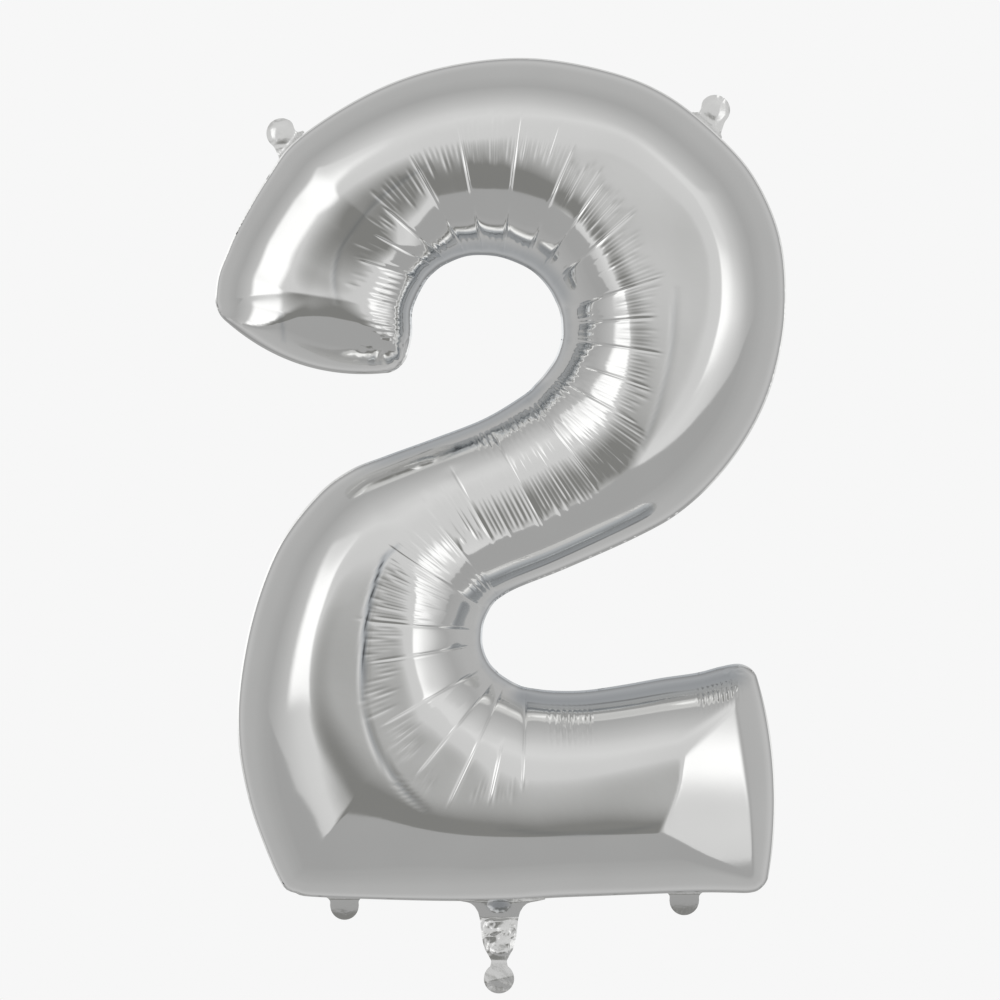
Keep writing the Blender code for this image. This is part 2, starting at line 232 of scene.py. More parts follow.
def place(t, share):
    """Points of the ribs with the stroke's four corners rounded off."""
    points = rib_points(t, share)
    for corner, along, across, radius in corner_frames():
        frame_matrix = np.linalg.inv(np.stack([along, across], 1))
        local = (points - corner) @ frame_matrix.T
        from_centre = 1 - np.clip(local, 0, None) / radius
        inside = ((from_centre > 0) & (local > -0.004)).all(-1)
        size = np.maximum(np.linalg.norm(from_centre, axis=-1), 1e-9)
        pulled = from_centre * (from_centre.max(-1) / size)[..., None]
        shift = (from_centre - pulled) * radius * inside[..., None]
        points = points + shift @ np.stack([along, across])
    return points


def travel_table():
    """The stroke's length up to each of many ribs, measured along its middle."""
    t = np.linspace(0, LAST, LAST * 40 + 1)
    middle = rib_points(t, np.full((1, 1), 0.5))[:, 0]
    steps = np.linalg.norm(np.diff(middle, axis=0), axis=1)
    return t, np.concatenate([[0.0], np.cumsum(steps)])


TABLE_T, TABLE_TRAVEL = travel_table()
TOTAL_TRAVEL = TABLE_TRAVEL[-1]


def to_travel(t):
    return np.interp(t, TABLE_T, TABLE_TRAVEL)


def to_rib(travel):
    return np.interp(travel, TABLE_TRAVEL, TABLE_T)


def wrinkle_ribs():
    """The rib parameter of each fine wrinkle, group by group."""
    return [np.linspace(a, b, n) for a, b, n, *_ in WRINKLES]


def row_ribs():
    """The ribs that the mesh uses: one on each fold, more beside it, and a regular filling."""
    wanted = []
    for rib, (_, _, gather) in enumerate(RIBS):
        if gather:
            wanted += [to_travel(rib) + d for d in BESIDE_GATHER]
    for group in wrinkle_ribs():
        for t in group:
            wanted += [to_travel(t) + d for d in BESIDE_WRINKLE]
    for first, last in FINE_ROWS:
        wanted += list(np.arange(to_travel(first), to_travel(last), FINE_STEP))
    for d in BESIDE_END:
        wanted += [SEAM + d, TOTAL_TRAVEL - (SEAM + d)]
    wanted += list(np.arange(0.008, TOTAL_TRAVEL - 0.008, ROW_STEP))
    kept = [0.0, TOTAL_TRAVEL]
    for travel in wanted:
        after = bisect_left(kept, travel)
        if after in (0, len(kept)):
            continue
        if min(travel - kept[after - 1], kept[after] - travel) > CLOSEST_ROWS:
            kept.insert(after, float(travel))
    return to_rib(np.array(kept))


# ---------------------------------------------------------------- the inflated surface


def smooth_step(low, high, x):
    f = np.clip((x - low) / (high - low), 0, 1)
    return f * f * (3 - 2 * f)


def distance_to(curve, points):
    """Distance of the points to a smooth sampled curve, refined between its samples."""
    flat = points.reshape(-1, 2)
    found = np.empty(len(flat))
    for start in range(0, len(flat), 6000):
        part = flat[start : start + 6000]
        squared = ((part[:, None] - curve[None]) ** 2).sum(2)
        near = np.clip(squared.argmin(1), 1, len(curve) - 2)
        rows = np.arange(len(part))
        a, b, c = squared[rows, near - 1], squared[rows, near], squared[rows, near + 1]
        bend = np.maximum(a - 2 * b + c, 1e-12)
        shift = np.clip(0.5 * (a - c) / bend, -1, 1)
        found[start : start + 6000] = np.sqrt(np.maximum(b - 0.25 * (a - c) * shift, 0))
    return found.reshape(points.shape[:-1])


def smooth_min(a, b, width):
    gap = np.clip(width - np.abs(a - b), 0, None) / width
    return np.minimum(a, b) - gap**2 * width / 4


def seam_curves():
    """The seam's four sides as dense lines: outer, inner, hook end, base end."""
    travel = np.arange(SEAM, TOTAL_TRAVEL - SEAM, 0.003)
    t = to_rib(travel)
    rim = seam_share(t)
    outer = place(t, rim)[:, 0]
    inner = place(t, 1 - rim)[:, 0]
    across = np.linspace(0.01, 0.99, 90)[None]
    ends = to_rib(np.array([SEAM, TOTAL_TRAVEL - SEAM]))
    hook, base = place(ends, np.vstack([across, across]))
    return outer, inner, hook, base


def seam_share(t):
    """The seam's width as a share of each rib, as a column."""
    length = np.linalg.norm(spline(INNER, t) - spline(OUTER, t), axis=1)
    return (SEAM / length)[:, None]


def hook_cap(distance, share):
    """Height of the film that closes the hook's end: one facet that steepens towards the seam."""
    ridge = 0.014 + 0.044 * smooth_step(0.14, 0.64, share) - 0.026 * smooth_step(0.84, 0.98, share)
    reach = np.clip(distance * 0.058 / ridge, 0, 0.24)
    return 0.372 * np.sqrt(reach) - 0.372 * reach


def base_cap(distance, z):
    """The same for the base's right end: a steep band at the seam, then a gently sloping facet."""
    facet = 0.066 + 0.29 * distance - 1.0 * np.minimum((z - 0.225) ** 2, 0.0225)
    return smooth_min(0.42 * np.sqrt(distance), facet, 0.003)


def crown_place(t):
    """Where the crown is, as a share of the width from the outer side: further out over the top."""
    return 0.5 - 0.035 * (smooth_step(4.0, 6.5, t) * (1 - smooth_step(9.0, 11.5, t)))[:, None]


def slackness(t, plane):
    """How much lower the crown stands towards the hook's end and the lower left corner."""
    hook = 1 - smooth_step(0.06, 0.27, to_travel(t))[:, None]
    corner = np.exp(-(((plane[..., 0] + 0.205) / 0.15) ** 2) - ((plane[..., 1] - 0.075) / 0.17) ** 2)
    return 1 - 0.24 * hook - 0.20 * corner


def fullness(t, share):
    """Exponent of the cross-section: 2 is elliptical; the hook's gathered side is fuller."""
    return 2 + 1.3 * (1 - smooth_step(3.8, 6.2, t))[:, None] * smooth_step(0.45, 0.62, share)


def base_surface(t):
    """The plain inflated face for the rows t, facing -Y; its height over the rim; each point's share."""
    rim = seam_share(t)
    turn = np.linspace(0, math.pi, COLUMNS + 1)[None]
    swell_share = rim + (1 - 2 * rim) * (1 - np.cos(turn)) / 2
    share = np.hstack([np.zeros_like(rim), swell_share, np.ones_like(rim)])
    plane = place(t, share)
    outer, inner, hook, base = seam_curves()
    inside = plane[1:-1, 1:-1]
    to_outer, to_inner = distance_to(outer, inside), distance_to(inner, inside)
    width = to_outer + to_inner
    crown = smooth_min(CROWN_RATIO * width, np.full_like(width, MOST_CROWN + 0.004), 0.016)
    crown *= slackness(t, plane)[1:-1, 1:-1]
    outer_part = crown_place(t)[1:-1]
    side = np.minimum(to_outer / outer_part, to_inner / (1 - outer_part)) / width
    towards_crown = np.clip(side, 0, 1)
    power = fullness(t, share)[1:-1, 1:-1]
    body = crown * (1 - (1 - towards_crown) ** power) ** (1 / power)
    cap = np.minimum(
        hook_cap(distance_to(hook, inside), share[1:-1, 1:-1]),
        base_cap(distance_to(base, inside), inside[..., 1]),
    )
    swell = np.clip(smooth_min(body, cap, 0.005), 0, None)
    swell[:, [0, -1]] = 0.0
    swell[[0, -1]] = 0.0
    height = np.zeros(plane.shape[:2])
    height[1:-1, 1:-1] = swell
    depth = SEAM_ROOT_Y + height
    depth[:, [0, -1]] = SEAM_EDGE_Y
    depth[[0, -1]] = SEAM_EDGE_Y
    plain = np.stack([plane[..., 0], -depth, plane[..., 1]], 2)
    return plain, height, share


def grid_normals(points):
    """Outward unit normals of a grid of points whose outward side is towards -Y."""
    along = np.gradient(points, axis=0)
    across = np.gradient(points, axis=1)
    normal = np.cross(along, across)
    normal /= np.maximum(np.linalg.norm(normal, axis=2), 1e-12)[..., None]
    return np.where((normal[..., 1] > 0)[..., None], -normal, normal)


def bay_share(rib, share):
    """The share counted towards the bay that the gathers run to."""
    return 1 - share if LOWER_BAY_RIBS[0] <= rib <= LOWER_BAY_RIBS[1] else share


def gathers(t, points, share, random):
    """Depth of the long gathers that fan out from the two bays."""
    depth = np.zeros(share.shape)
    for rib, (_, _, gather) in enumerate(RIBS):
        if not gather:
            continue
        row = int(np.abs(t - rib).argmin())
        away = np.linalg.norm(points - points[row], axis=2)
        lit_side = (t > rib)[:, None] if random.uniform() < 0.5 else (t < rib)[:, None]
        to_bay = bay_share(rib, share)
        start, stop = gather
        fade = 1 - smooth_step(stop, min(stop + 0.06, 0.995), to_bay)
        broad = smooth_step(start - 0.01, start + 0.16, to_bay) * fade
        broad *= 0.55 + 1.6 * smooth_step(0.72, 0.93, to_bay)
        sharp = smooth_step(start - 0.02, start + 0.05, to_bay) * fade
        size = random.uniform(0.8, 1.2)
        depth -= GATHER_VALLEY * size * broad * np.exp(-away / 0.0065)
        depth -= GATHER_CREASE * size * sharp * np.exp(-((away / 0.0011) ** 2))
        depth += GATHER_LIP * sharp * np.exp(-(((away - 0.0021) / 0.0010) ** 2)) * lit_side
    return depth


def wrinkles(t, points, share, random):
    """Depth of the fine wrinkles between the gathers."""
    depth = np.zeros(share.shape)
    for (first, last, count, start, stop, amount), group in zip(WRINKLES, wrinkle_ribs()):
        for rib in group:
            row = int(np.abs(t - rib).argmin())
            low, high = max(0, row - 14), min(len(t), row + 15)
            away = np.linalg.norm(points[low:high] - points[row], axis=2)
            to_bay = bay_share(rib, share[low:high])
            a = start + random.uniform(-0.03, 0.05)
            b = stop + random.uniform(-0.06, 0.04)
            reach = smooth_step(a, a + 0.05, to_bay) * (1 - smooth_step(b - 0.07, b, to_bay))
            size = amount * random.uniform(0.35, 1.15)
            depth[low:high] -= size * reach * np.exp(-((away / 0.0014) ** 2))
    return depth


def rim_puckers(t, points, share, random):
    """Crosswise puckers along the bays' rims and along the top of the base."""
    depth = np.zeros(share.shape)
    for first, last, low, high, pitch, amount, outer_side in PUCKERS:
        rim = points[:, RIM_COLUMN if outer_side else -1 - RIM_COLUMN]
        travel = np.concatenate([[0.0], np.cumsum(np.linalg.norm(np.diff(rim, axis=0), axis=1))])
        phase = 2 * math.pi * travel / pitch + 1.3 * np.sin(travel / 0.011)
        reach = smooth_step(first, first + 0.3, t) * (1 - smooth_step(last - 0.3, last, t))
        uneven = 0.7 + 0.3 * np.sin(travel / 0.0047 + random.uniform(0, 6))
        steps = np.linalg.norm(np.diff(points, axis=1), axis=2)
        across = np.hstack([np.zeros((len(t), 1)), np.cumsum(steps, axis=1)])
        drift = 1.6 * np.sin(phase / 3.7) + 1.1 * np.sin(phase / 1.7)
        weave = np.cos(2 * math.pi * across / (2.6 * pitch) + drift[:, None])
        middle = (low + high) / 2
        band = smooth_step(low, middle, share) * (1 - smooth_step(middle, high, share))
        wave = np.sin(phase)[:, None] * (0.74 + 0.26 * weave)
        depth += amount * wave * band * (uneven * reach)[:, None]
    return depth


def slow_waves(points, random):
    """The faint unevenness that large stretched areas keep."""
    shift = Vector((random.uniform(0, 50), random.uniform(0, 50), random.uniform(0, 50)))
    flat = points.reshape(-1, 3)
    wave = np.array([noise.noise(Vector(p) * 11 + shift) for p in flat])
    return 0.0006 * wave.reshape(points.shape[:2])


# Creases along the stroke, where the gathered film meets the taut film: depth, darkness of their painted
# shade, points
LONG_CREASES = [
    (0.0010, 0.98, [(-0.1020, 0.4260), (-0.1170, 0.4110), (-0.1300, 0.3700), (-0.1360, 0.3290),
                    (-0.1374, 0.2700)]),
    (0.0006, 0.42, [(-0.1374, 0.2700), (-0.1300, 0.2380), (-0.1169, 0.2090), (-0.0960, 0.1800),
                    (-0.0728, 0.1580)]),
    (0.00025, 0.33, [(-0.164, 0.672), (-0.167, 0.698), (-0.161, 0.725), (-0.1445, 0.750), (-0.125, 0.773),
                     (-0.1015, 0.792), (-0.0707, 0.811)]),
    (0.0002, 0.20, [(0.1785, 0.6850), (0.1770, 0.6600), (0.1730, 0.6160), (0.1600, 0.5650),
                    (0.1445, 0.5240)]),
    (0.00012, 0.25, [(0.0000, 0.1400), (0.0700, 0.1350), (0.1300, 0.1390), (0.1620, 0.1450)]),
    (0.0003, 0.65, [(-0.2210, 0.6600), (-0.2195, 0.6470), (-0.2190, 0.6350)]),
]
CREASE_WIDTH = 0.0024
CREASE_SHADE_WIDTH = 0.0023


def long_creases(points):
    """Narrow grooves along the stroke: their depth, and how much painted shade darkens each point."""
    flat = points[..., [0, 2]]
    depth, shade = np.zeros(points.shape[:2]), np.zeros(points.shape[:2])
    for amount, dark, knots in LONG_CREASES:
        line = spline(knots, np.linspace(0, len(knots) - 1, 60 * (len(knots) - 1)))
        low, high = line.min(0) - 0.02, line.max(0) + 0.02
        near = ((flat > low) & (flat < high)).all(-1)
        away = distance_to(line, flat[near])
        from_start = np.linalg.norm(flat[near] - line[0], axis=1)
        from_end = np.linalg.norm(flat[near] - line[-1], axis=1)
        strength = 0.35 + 0.65 * smooth_step(0.0, 0.03, np.minimum(from_start, from_end))
        darkness = dark * np.exp(-((away / CREASE_SHADE_WIDTH) ** 2)) * strength
        depth[near] -= amount * np.exp(-((away / CREASE_WIDTH) ** 2)) * strength
        shade[near] = np.maximum(shade[near], darkness)
    return depth, shade


# Painted shade along the bays' rims, standing in for the dark reflections there: rib, rib, whether on the
# outer side, share at which it starts, darkness (0.6 is the full bluish painted shade, 1 the near-black
# painted shade)
SHADED_RIMS = [
    (1.0, 12.5, False, 0.91, 0.48),
    (12.5, 17.5, False, 0.95, 0.36),
    (17.5, 22.5, False, 0.93, 0.60),
    (21.0, 23.5, True, 0.045, 0.45),
    (23.5, 35.0, True, 0.035, 0.45),
    (35.0, 43.0, True, 0.12, 0.62),
]


def rim_shade(t, share):
    """How much painted shade darkens the film along the bays' rims."""
    shade = np.zeros(share.shape)
    for first, last, outer_side, edge, dark in SHADED_RIMS:
        along = smooth_step(first - 0.8, first + 0.8, t) * (1 - smooth_step(last - 0.8, last + 0.8, t))
        if outer_side:
            across = 1 - smooth_step(0.35 * edge, edge, share)
        else:
            across = smooth_step(edge, edge + 0.65 * (1 - edge), share)
        shade = np.maximum(shade, dark * along[:, None] * across)
    return shade


# Crumpled spots: centre x, z, radius and depth
CRUMPLES = [
    (-0.100, 0.622, 0.028, 0.0028),
    (-0.135, 0.618, 0.026, 0.0014),
    (0.243, 0.296, 0.018, 0.0016),
    (0.2040, 0.8630, 0.009, 0.0004),
]


def crumples(points, random):
    """Crumpled film at the hook's tip, at a corner of the base and at the roots of the tabs."""
    depth = np.zeros(points.shape[:2])
    for x, z, radius, amount in CRUMPLES:
        shift = Vector((random.uniform(0, 50), 0, 0))
        away = np.hypot(points[..., 0] - x, points[..., 2] - z)
        mask = np.clip(1 - away / radius, 0, 1)
        for i, j in np.argwhere(mask > 0):
            p = Vector(points[i, j])
            fold = abs(noise.noise(Vector((p.x * 130, p.y * 60, p.z * 170)) + shift))
            depth[i, j] += amount * mask[i, j] ** 0.7 * (0.25 - fold)
    return depth


def panel_surface(seed):
    """A panel's outer face, facing -Y, with its folds; the plain face; its normals, height and painted
    shade.
    """
    random = np.random.default_rng(seed)
    t = row_ribs()
    plain, height, share = base_surface(t)
    normal = grid_normals(plain)
    depth = gathers(t, plain, share, random) + wrinkles(t, plain, share, random)
    groove, shade = long_creases(plain)
    depth += rim_puckers(t, plain, share, random) + groove + crumples(plain, random)
    depth += slow_waves(plain, random) * smooth_step(0.0, 0.03, height)
    depth *= smooth_step(0.0, 0.014, height)
    shade = np.maximum(shade, rim_shade(t, share))
    return plain + normal * depth[..., None], plain, normal, height, shade


def thin_solid(outer, inner_grid, rows, columns):
    """Vertices and faces of a closed skin: a fine outer grid and a coarse inner one, joined at the rim."""
    count, width = outer.shape[:2]
    vertices = np.vstack([outer.reshape(-1, 3), inner_grid.reshape(-1, 3)])
    faces = []
    for base in range(0, (count - 1) * width, width):
        for a in range(base, base + width - 1):
            faces.append((a, a + 1, a + 1 + width, a + width))
    start = count * width
    inner_width = len(columns)
    for base in range(start, start + (len(rows) - 1) * inner_width, inner_width):
        for a in range(base, base + inner_width - 1):
            faces.append((a, a + inner_width, a + 1 + inner_width, a + 1))
    outer_loop, inner_loop = [], []

    def side(cells, outer_index, inner_index):
        for a in range(len(cells) - 1):
            inner_loop.append(inner_index(a))
            outer_loop.append([outer_index(k) for k in range(cells[a], cells[a + 1] + 1)])

    last_row = (count - 1) * width
    inner_last_row = start + (len(rows) - 1) * inner_width
    back_columns = [width - 1 - c for c in reversed(columns)]
    back_rows = [count - 1 - r for r in reversed(rows)]
    side(columns, lambda k: k, lambda a: start + a)
    side(rows, lambda k: k * width + width - 1, lambda a: start + a * inner_width + inner_width - 1)
    side(back_columns, lambda k: last_row + width - 1 - k, lambda a: inner_last_row + inner_width - 1 - a)
    side(back_rows, lambda k: last_row - k * width, lambda a: inner_last_row - a * inner_width)
    total = len(inner_loop)
    for index in range(total):
        here, after = inner_loop[index], inner_loop[(index + 1) % total]
        run = outer_loop[index]
        faces += [(run[k + 1], run[k], here) for k in range(len(run) - 1)]
        faces.append((run[-1], here, after))
    return vertices, faces


def add_mesh(name, vertices, faces, material, smooth_angle=None):
    mesh = bpy.data.meshes.new(name)
    mesh.from_pydata([tuple(v) for v in vertices], [], faces)
    mesh.validate()
    mesh.shade_smooth()
    if smooth_angle:
        mesh.set_sharp_from_angle(angle=math.radians(smooth_angle))
    mesh.materials.append(material)
    obj = bpy.data.objects.new(name, mesh)
    bpy.context.scene.collection.objects.link(obj)
    return obj


def every(count, step):
    """Indices at a step, always with the first two and the last two."""
    middle = list(range(1 + step, count - 1 - step // 2, step))
    return [0, 1, *middle, count - 2, count - 1]


def foil_panel(name, side, seed, material):
    """One panel: the folded outer face, closed by a plainer face inside the film."""
    outer, plain, normal, height, shade = panel_surface(seed)
    rows, columns = every(outer.shape[0], 6), every(outer.shape[1], 4)
    inward = INNER_DEPTH * smooth_step(0.0, 0.02, height) + FILM
    inner = plain - normal * inward[..., None]
    rim = height <= 0
    inner[rim] = plain[rim] + np.array([0, FILM, 0])
    inner = inner[np.ix_(rows, columns)]
    outer, inner = outer.copy(), inner.copy()
    if side > 0:
        outer[..., 1] *= -1
        inner[..., 1] *= -1
    vertices, faces = thin_solid(outer, inner, rows, columns)
    if side < 0:
        faces = [face[::-1] for face in faces]
    panel = add_mesh(name, vertices, faces, material, 50)
    # painted shade on the outer face's points; none on the inner face
    values = panel.data.attributes.new("shade", "FLOAT", "POINT")
    unshaded = np.zeros(len(vertices) - shade.size)
    values.data.foreach_set("value", np.concatenate([shade.ravel(), unshaded]))
    return panel


# ---------------------------------------------------------------- materials


class Nodes:
    """Short names for building a shader."""

    def __init__(self, tree):
        self.tree = tree

    def add(self, kind, **settings):
        node = self.tree.nodes.new(kind)
        for key, value in settings.items():
            setattr(node, key, value)
        return node

    def link(self, output, target):
        self.tree.links.new(output, target)

    def noise(self, scale, detail, roughness, vector):
        node = self.add("ShaderNodeTexNoise")
        node.inputs["Scale"].default_value = scale
        node.inputs["Detail"].default_value = detail
        node.inputs["Roughness"].default_value = roughness
        self.link(vector, node.inputs["Vector"])
        return node.outputs["Fac"]

    def spread(self, value, low, high, out_low, out_high, smooth=False):
        node = self.add("ShaderNodeMapRange")
        if smooth:
            node.interpolation_type = "SMOOTHSTEP"
        limits = {"From Min": low, "From Max": high, "To Min": out_low, "To Max": out_high}
        for name, number in limits.items():
            node.inputs[name].default_value = number
        self.link(value, node.inputs["Value"])
        return node.outputs["Result"]

    def math(self, operation, a, b=None):
        node = self.add("ShaderNodeMath", operation=operation)
        for socket, value in zip(node.inputs, (a, b)):
            if value is None:
                continue
            if isinstance(value, (int, float)):
                socket.default_value = value
            else:
                self.link(value, socket)
        return node.outputs[0]

    def mix_colour(self, factor, a, b):
        node = self.add("ShaderNodeMix", data_type="RGBA")
        self.link(factor, node.inputs["Factor"])
        for name, value in (("A", a), ("B", b)):
            socket = next(s for s in node.inputs if s.name == name and s.type == "RGBA")
            if isinstance(value, tuple):
                socket.default_value = (*value, 1.0)
            else:
                self.link(value, socket)
        return next(s for s in node.outputs if s.type == "RGBA")

    def bump(self, height, distance):
        node = self.add("ShaderNodeBump")
        node.inputs["Strength"].default_value = 1.0
        node.inputs["Distance"].default_value = distance
        self.link(height, node.inputs["Height"])
        return node.outputs["Normal"]


def new_material(name):
    """A new material, the means to build it, its main shader, and the spot on the object."""
    made = bpy.data.materials.new(name)
    made.use_nodes = True
    nodes = Nodes(made.node_tree)
    shader = made.node_tree.nodes["Principled BSDF"]
    spot = nodes.add("ShaderNodeTexCoord").outputs["Object"]
    return made, nodes, shader, spot


# Painted shade on the foil, read from the shade attribute: a bluish grey up to the turn, then a
# near-black, in rims, creases and the valve's pit
PAINTED_SHADE_TURN = 0.6  # painted shade: the darkness at which the film is wholly the bluish shade colour
PAINTED_SHADE_COLOUR = (0.60, 0.625, 0.65)
DEEP_PAINTED_SHADE_COLOUR = (0.08, 0.085, 0.09)


def foil_material(name, colour, roughness, crinkle_scale, crinkle_height):
    """Metallised film: a mirror with faint haze, fine crinkle, slow changes of gloss, and painted shade
    from the shade attribute.
    """
    made, nodes, shader, spot = new_material(name)
    shader.inputs["Metallic"].default_value = 1.0
    tint = nodes.spread(nodes.noise(9.0, 2.0, 0.5, spot), 0.3, 0.7, 0.0, 1.0)
    deep = tuple(0.955 * c for c in colour)
    shown = nodes.mix_colour(tint, colour, deep)
    shade = nodes.add("ShaderNodeAttribute", attribute_name="shade").outputs["Fac"]
    # painted shade: the colour darkens to a bluish grey, then to near-black, as the shade attribute rises
    shown = nodes.mix_colour(nodes.spread(shade, 0.0, PAINTED_SHADE_TURN, 0.0, 1.0), shown, PAINTED_SHADE_COLOUR)
    shown = nodes.mix_colour(nodes.spread(shade, PAINTED_SHADE_TURN, 1.0, 0.0, 1.0), shown, DEEP_PAINTED_SHADE_COLOUR)
    nodes.link(shown, shader.inputs["Base Color"])
    haze = nodes.noise(26.0, 4.0, 0.6, spot)
    nodes.link(nodes.spread(haze, 0.3, 0.7, roughness * 0.75, roughness * 1.3), shader.inputs["Roughness"])
    crinkle = nodes.noise(crinkle_scale, 3.0, 0.55, spot)
    nodes.link(nodes.bump(crinkle, crinkle_height), shader.inputs["Normal"])
    return made


def clear_film_material(name):
    """Clear, slightly hazy polyethylene."""
    made, nodes, shader, spot = new_material(name)
    shader.inputs["Metallic"].default_value = 0.0
    shader.inputs["Transmission Weight"].default_value = 0.6
    shader.inputs["IOR"].default_value = 1.5
    shader.inputs["Alpha"].default_value = 0.75
    haze = nodes.noise(120.0, 3.0, 0.5, spot)
    nodes.link(nodes.mix_colour(haze, (0.84, 0.87, 0.87), (0.90, 0.91, 0.91)), shader.inputs["Base Color"])
    nodes.link(nodes.spread(haze, 0.3, 0.7, 0.12, 0.3), shader.inputs["Roughness"])
    nodes.link(nodes.bump(nodes.noise(90.0, 3.0, 0.5, spot), 0.0004), shader.inputs["Normal"])
    return made


FOIL = foil_material("foil", (0.905, 0.905, 0.895), 0.075, 60.0, 0.00003)
WELDED = foil_material("welded_foil", (0.88, 0.88, 0.87), 0.14, 170.0, 0.00025)
CLEAR = clear_film_material("valve_film")


# ---------------------------------------------------------------- tongues of welded film


def thicken(points, faces, thickness):
    """A closed solid from an open sheet: its copy set back along +Y, with walls on every open edge."""
    count = len(points)
    back = points + np.array([0, thickness, 0])
    used = {edge: None for face in faces for edge in zip(face, face[1:] + face[:1])}
    walls = [(b, a, a + count, b + count) for a, b in used if (b, a) not in used]
    turned = [tuple(v + count for v in reversed(face)) for face in faces]
    return np.vstack([points, back]), list(faces) + turned + walls


def grid_faces(rows, columns):
    """Faces of a grid, facing -Y where the rows go outwards and the columns to the right."""
    found = []
    for i in range(rows - 1):
        for j in range(columns - 1):
            a = i * columns + j
            found.append((a, a + 1, a + 1 + columns, a + columns))
    return found


def tongue(root, outward_deg, profile, relief, across=33):
    """A tongue's front face as a grid: profile is rows of (distance out, centre, half width)."""
    outward = np.array([math.cos(math.radians(outward_deg)), math.sin(math.radians(outward_deg))])
    along = np.array([outward[1], -outward[0]])
    u = np.linspace(-1, 1, across)
    u = np.sign(u) * (1 - (1 - np.abs(u)) ** 1.25)
    rows = []
    for out, centre, half in profile:
        flat = np.array(root) + outward * out + np.outer(centre + half * u, along)
        depth = [relief(side, centre + half * side, out) for side in u]
        rows.append(np.stack([flat[:, 0], depth, flat[:, 1]], 1))
    return np.array(rows)


def tongue_mesh(name, grid, thickness, material):
    """A piece from a tongue's front face."""
    rows, columns = grid.shape[:2]
    faces = grid_faces(rows, columns)
    points, faces = thicken(grid.reshape(-1, 3), faces, thickness)
    return add_mesh(name, points, facing_out(points, faces), material, 45)


def facing_out(points, faces):
    """The faces, all reversed if they enclose a negative volume."""
    total = 0.0
    for face in faces:
        first = points[face[0]]
        for b, c in zip(face[1:], face[2:]):
            total += float(np.dot(first, np.cross(points[b], points[c])))
    return faces if total > 0 else [tuple(reversed(face)) for face in faces]


def crinkle(x, z, scale, seed):
    """Sharp-edged folds between -0.5 and 0.5."""
    p = Vector((x * scale, seed, z * scale))
    bent = p + noise.noise_vector(p * 0.6) * 0.8
    return 0.5 - 1.6 * abs(noise.noise(bent))


def disc_profile(radius, lean, reach):
    """Rows of a tab: inside the seam, a slightly pinched root, and a round end."""
    rows = []
    for out in np.linspace(-0.0038, reach, 24):
        rise = smooth_step(0.15 * reach, reach, out)
        half = radius * (0.93 + 0.07 * rise) + 0.0032 * math.exp(-max(out, -0.0015) / 0.0026)
        rows.append((out, lean * rise, half))
    for turn in np.linspace(0, math.radians(87), 26)[1:]:
        rows.append((reach + radius * math.sin(turn), lean, radius * math.cos(turn)))
    return rows


# Tabs: node, root, outward direction, radius, sideways lean, reach, how crinkled, tilt of the face
TABS = [
    ("tab_top_left", (-0.2147, 0.8362), 142.0, 0.0155, 0.0046, 0.0142, 0.55, 0.22),
    ("tab_top_right", (0.2146, 0.8582), 48.7, 0.0155, -0.0043, 0.0152, 0.75, 0.14),
    ("tab_bottom_left", (-0.1585, 0.0640), -90.0, 0.0145, 0.0, 0.0078, 0.10, 0.52),
    ("tab_bottom_right", (0.1900, 0.0692), -90.0, 0.0150, 0.0, 0.0078, 0.05, 0.52),
]
TAB_FILM = 0.0004


def hanging_tab(name, root, outward_deg, radius, lean, reach, rough, tilt):
    """A rounded tab that leans back from its root: dished and crinkled."""

    def relief(u, x, out):
        clear = float(smooth_step(0.0002, 0.0035, out))
        ring = math.hypot(x - lean, out - reach) / radius
        dish = 0.0020 * rough * math.exp(-((ring / 0.62) ** 4))
        corners = float(smooth_step(0.35, 0.95, abs(x) / radius))
        pleats = 0.0010 * math.sin(x * 1700 + 2.0 * math.sin(x * 500))
        pleats = pleats * math.exp(-max(out, 0) / 0.0035) * corners
        folds = 0.0012 * crinkle(x, out, 75.0, root[0] * 40)
        lean_back = tilt * max(out, 0.0) * (1 - 0.35 * max(out, 0.0) / (reach + radius))
        depth = rough * (pleats + folds * (0.25 + 0.75 * ring * ring)) + dish
        return -TAB_FILM / 2 - clear * depth + clear * lean_back

    grid = tongue(root, outward_deg, disc_profile(radius, lean, reach), relief)
    piece = tongue_mesh(name + "_film", grid, TAB_FILM, WELDED)
    piece.visible_glossy = False
    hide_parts(name)
    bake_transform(piece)


# ---------------------------------------------------------------- the tail

# Half widths of the neck at heights above the tie point; it flares into the base's rim
NECK = [
    (0.0655, 0.0480),
    (0.0630, 0.0470),
    (0.0616, 0.0400),
    (0.0604, 0.0330),
    (0.0588, 0.0285),
    (0.0555, 0.0248),
    (0.0500, 0.0215),
    (0.0420, 0.0195),
    (0.0260, 0.0178),
    (0.0170, 0.0160),
    (0.0110, 0.0138),
    (0.0050, 0.0104),
    (0.0010, 0.0083),
]
FOLD_Z = 0.0440  # where the neck bends back and then forward again
# How far behind the seam's plane the neck runs, at heights above the tie point
SET_BACK = [(0.0, 0.0), (0.006, 0.0005), (0.020, 0.0018), (0.036, 0.0046), (FOLD_Z, 0.0068), (0.061, 0.0)]
FILL_HOLE = (0.0070, 0.0032, 0.0142)  # half width, half height, height above the tie point
DIMPLE = (0.0, 0.0575, 0.0100, 0.0068)  # centre x, z, half width and half height of the pit at the valve


def read_off(table, z):
    """The value at a height, from rows of (height, value) that rise."""
    return float(np.interp(z, [row[0] for row in table], [row[1] for row in table]))


def neck_half(z):
    return read_off(NECK[::-1], z)


def neck_set_back(z):
    return read_off(SET_BACK, z)


